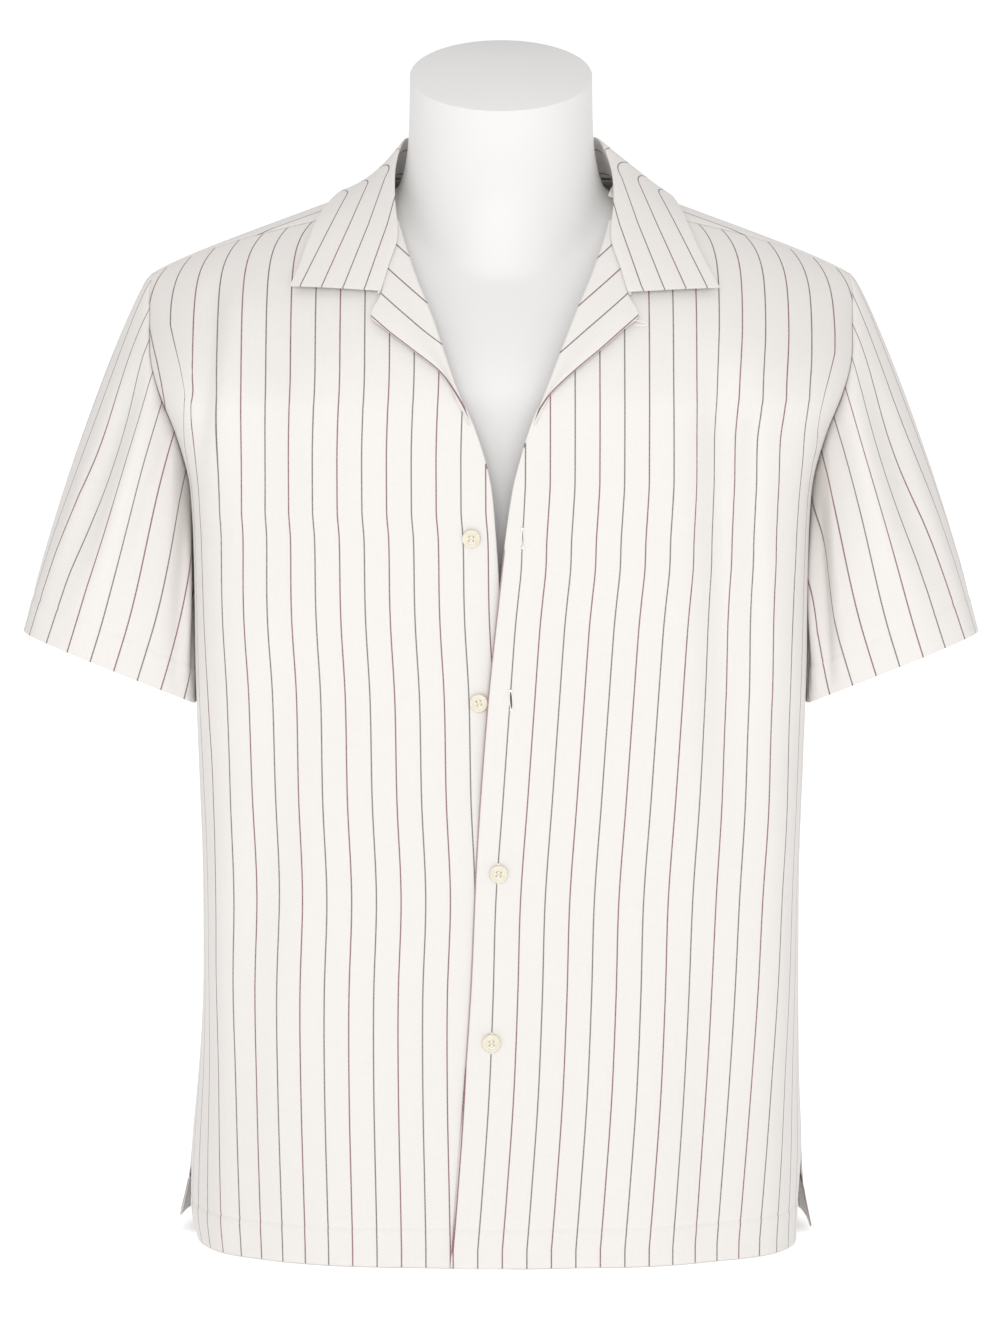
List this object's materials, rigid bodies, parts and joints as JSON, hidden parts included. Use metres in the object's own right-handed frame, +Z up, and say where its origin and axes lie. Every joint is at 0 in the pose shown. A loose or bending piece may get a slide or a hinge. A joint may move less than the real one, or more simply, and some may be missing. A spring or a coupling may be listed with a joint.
{
  "type": "camp shirt on a limbless dress form",
  "caption": "Short-sleeved striped camp shirt with a notched open collar, worn by a smooth limbless dress form that stands on its flat base.",
  "frame": {"origin": "under the middle of the whole, on the surface that the dress form stands on", "axes": "+Z up, the shirt's front faces -Y, +X is the wearer's left"},
  "size_m": [0.6676, 0.2642, 0.84],
  "materials": {
    "cloth": "smooth plain weave with thin maroon and grey stripes by turns",
    "button": "cream, satin",
    "form": "white, satin"
  },
  "bodies": {
    "root": {"front_left": "cloth", "front_right": "cloth", "back": "cloth", "yoke": "cloth", "sleeve_left": "cloth", "sleeve_right": "cloth", "collar": "cloth", "lapel_left": "cloth", "lapel_right": "cloth", "torso_form": "form", "button_1": "button", "button_2": "button", "button_3": "button", "button_4": "button"}
  },
  "joints": []
}
